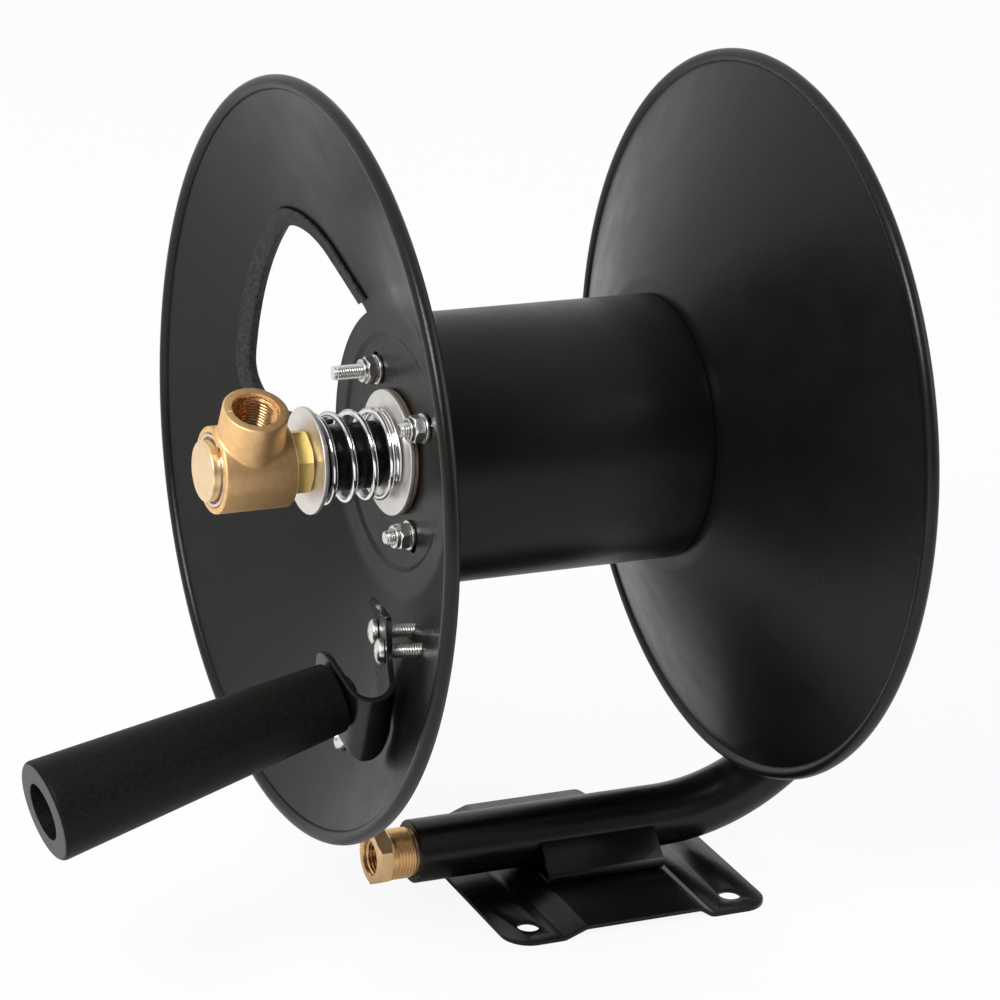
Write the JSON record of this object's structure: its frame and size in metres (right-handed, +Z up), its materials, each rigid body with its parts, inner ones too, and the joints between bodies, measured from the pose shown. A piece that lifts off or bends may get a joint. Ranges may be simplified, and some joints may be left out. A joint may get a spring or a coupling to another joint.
{
  "type": "pressure washer hose reel",
  "caption": "Hand-cranked hose reel: a dished steel drum with a hose opening turns on a bent pipe frame with a base plate, a spring drag, a brass swivel and a turning grip.",
  "frame": {"origin": "on the floor, below the middle of the whole reel's bounding box", "axes": "+X along the axle towards the pipe's bend, +Y to the back, +Z up"},
  "size_m": [0.409, 0.3048, 0.351],
  "materials": {
    "flange_paint": "satin black powder coat",
    "core_paint": "satin black powder coat",
    "pipe_paint": "semi-gloss black paint",
    "base_paint": "satin black powder coat",
    "bracket_paint": "satin black powder coat",
    "black_plastic": "matte black",
    "nut_black": "matte black",
    "trim_rubber": "grainy matte black",
    "seal_rubber": "smooth black",
    "grip_rubber": "matte black",
    "zinc": "bright zinc plating",
    "washer_zinc": "dull zinc plating",
    "fibre": "matte brown fibre",
    "spring_chrome": "polished",
    "ring_steel": "bright",
    "polished_brass": "machined and polished",
    "cast_brass": "cast and blasted",
    "plug_brass": "machined",
    "inlet_brass": "machined, warm tone"
  },
  "bodies": {
    "frame": {"base_plate": "base_paint", "saddle_front": "base_paint", "saddle_rear": "base_paint", "frame_pipe": "pipe_paint", "inlet_fitting": "inlet_brass", "hub_nipple": "polished_brass", "swivel_seal": "seal_rubber", "outer_washer": "washer_zinc", "drag_spring": "spring_chrome", "inner_washer": "washer_zinc", "friction_washer": "fibre", "thrust_washer": "washer_zinc", "stop_collar": "pipe_paint"},
    "drum": {"near_flange": "flange_paint", "far_flange": "flange_paint", "drum_core": "core_paint", "near_bushing": "black_plastic", "far_bushing": "black_plastic", "opening_trim": "trim_rubber", "tie_rod_1": "zinc", "tie_rod_2": "zinc", "tie_rod_3": "zinc", "tie_rod_4": "zinc", "tie_washer_near_1": "zinc", "tie_nut_near_1": "zinc", "tie_washer_near_2": "zinc", "tie_nut_near_2": "zinc", "tie_washer_near_3": "zinc", "tie_nut_near_3": "zinc", "tie_washer_near_4": "zinc", "tie_nut_near_4": "zinc", "tie_washer_far_1": "zinc", "tie_nut_far_1": "zinc", "tie_washer_far_2": "zinc", "tie_nut_far_2": "zinc", "tie_washer_far_3": "zinc", "tie_nut_far_3": "zinc", "tie_washer_far_4": "zinc", "tie_nut_far_4": "zinc", "grip_bracket": "bracket_paint", "bracket_screw_1": "zinc", "bracket_screw_2": "zinc", "bracket_nut_1": "zinc", "bracket_nut_2": "zinc", "flange_screw": "zinc", "flange_nut": "zinc", "grip_bolt": "zinc", "grip_washer": "black_plastic", "grip_nut": "nut_black"},
    "swivel": {"swivel_body": "cast_brass", "end_plug": "plug_brass", "snap_ring": "ring_steel"},
    "grip": {"grip": "grip_rubber"}
  },
  "joints": [
    {"name": "drum_spin", "type": "hinge", "parent": "frame", "child": "drum", "pos_m": [0.02873, 0, 0.1986], "axis": [1, 0, 0], "continuous": true},
    {"name": "swivel_spin", "type": "hinge", "parent": "frame", "child": "swivel", "pos_m": [0.02873, 0, 0.1986], "axis": [1, 0, 0], "continuous": true},
    {"name": "grip_spin", "type": "hinge", "parent": "drum", "child": "grip", "pos_m": [-0.08009, -0.06624, 0.12594], "axis": [-0.9724, -0.075, -0.221], "continuous": true}
  ]
}
